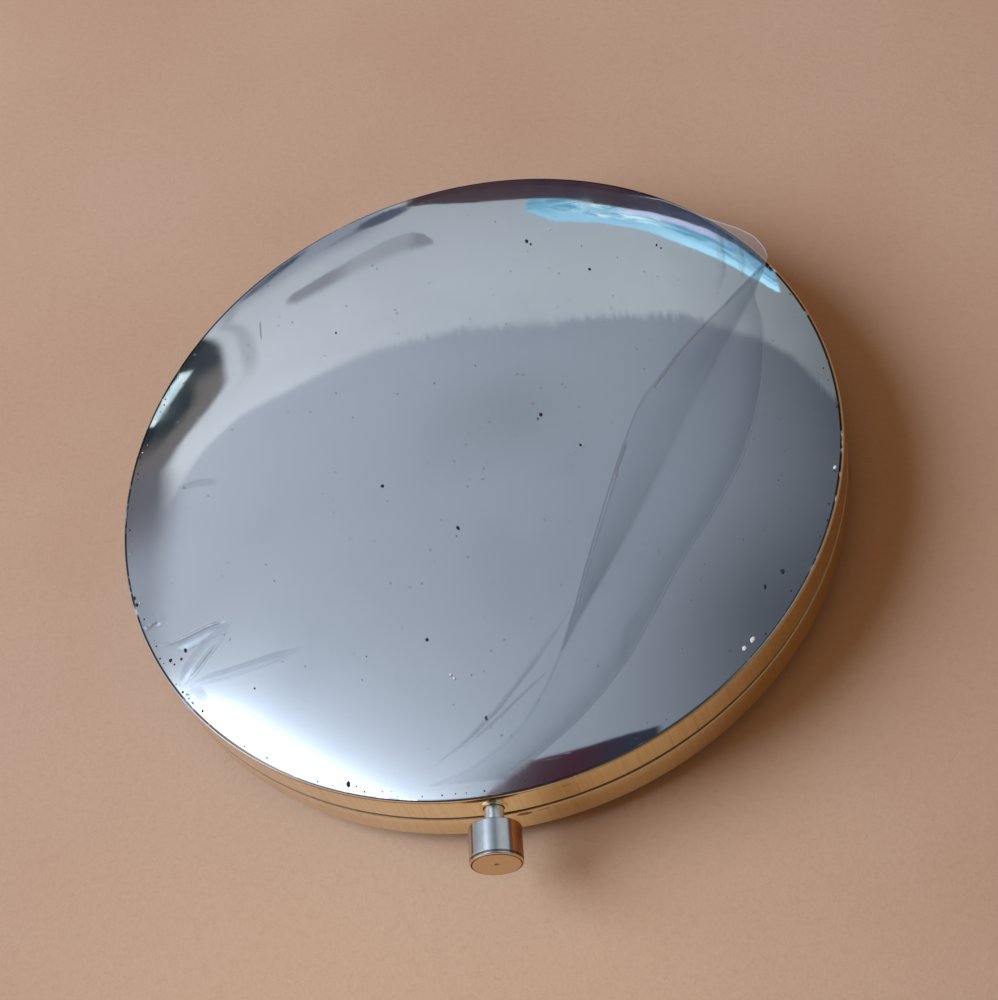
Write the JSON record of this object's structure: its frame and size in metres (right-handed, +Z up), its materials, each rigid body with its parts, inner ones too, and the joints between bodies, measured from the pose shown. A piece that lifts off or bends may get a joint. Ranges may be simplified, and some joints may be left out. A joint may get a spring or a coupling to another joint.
{
  "type": "compact mirror",
  "caption": "Round folding pocket mirror: two polished metal shells on a back hinge, a glass in each, opened by a push button at the front that frees a latch.",
  "frame": {"origin": "centre of the flat at the underside of the base shell, on the surface that the closed mirror rests on", "axes": "+Z up through the closed mirror, +Y from the push button towards the hinge, +X to the right as seen from the button"},
  "size_m": [0.07, 0.0774, 0.0108],
  "materials": {
    "polished_chrome": "mirror-polished chrome plate on drawn steel",
    "plated_steel": "bright plated pressed steel",
    "mirror_glass": "back-silvered glass with a ground edge",
    "foam_tape": "double-sided foam tape",
    "spring_steel": "dark drawn spring steel",
    "clear_film": "thin clear peel-off film, creased"
  },
  "bodies": {
    "base": {"base_shell": "polished_chrome", "base_frame": "plated_steel", "base_mirror_pad": "foam_tape", "base_mirror": "mirror_glass", "base_hinge_leaf": "plated_steel", "base_hinge_rivet_1": "plated_steel", "base_hinge_rivet_2": "plated_steel", "hinge_pin": "plated_steel"},
    "lid": {"lid_shell": "polished_chrome", "lid_frame": "plated_steel", "lid_mirror_pad": "foam_tape", "lid_mirror": "mirror_glass", "lid_hinge_leaf": "plated_steel", "lid_hinge_rivet_1": "plated_steel", "lid_hinge_rivet_2": "plated_steel", "guide_bracket": "plated_steel", "bracket_rivet_1": "plated_steel", "bracket_rivet_2": "plated_steel", "button_spring": "spring_steel", "protective_film": "clear_film"},
    "button": {"button_cap": "polished_chrome", "button_stem": "polished_chrome", "button_clip": "spring_steel", "latch_hook": "spring_steel"}
  },
  "joints": [
    {"name": "lid_hinge", "type": "hinge", "parent": "base", "child": "lid", "pos_m": [0, 0.03575, 0.00515], "axis": [-1, 0, 0], "range_deg": [0, 175]},
    {"name": "button_press", "type": "slide", "parent": "lid", "child": "button", "axis": [0, 1, 0], "range_m": [0, 0.001], "stiffness_N_per_m": 400, "springref_m": -0.0015, "deforming": ["button_spring"]}
  ]
}
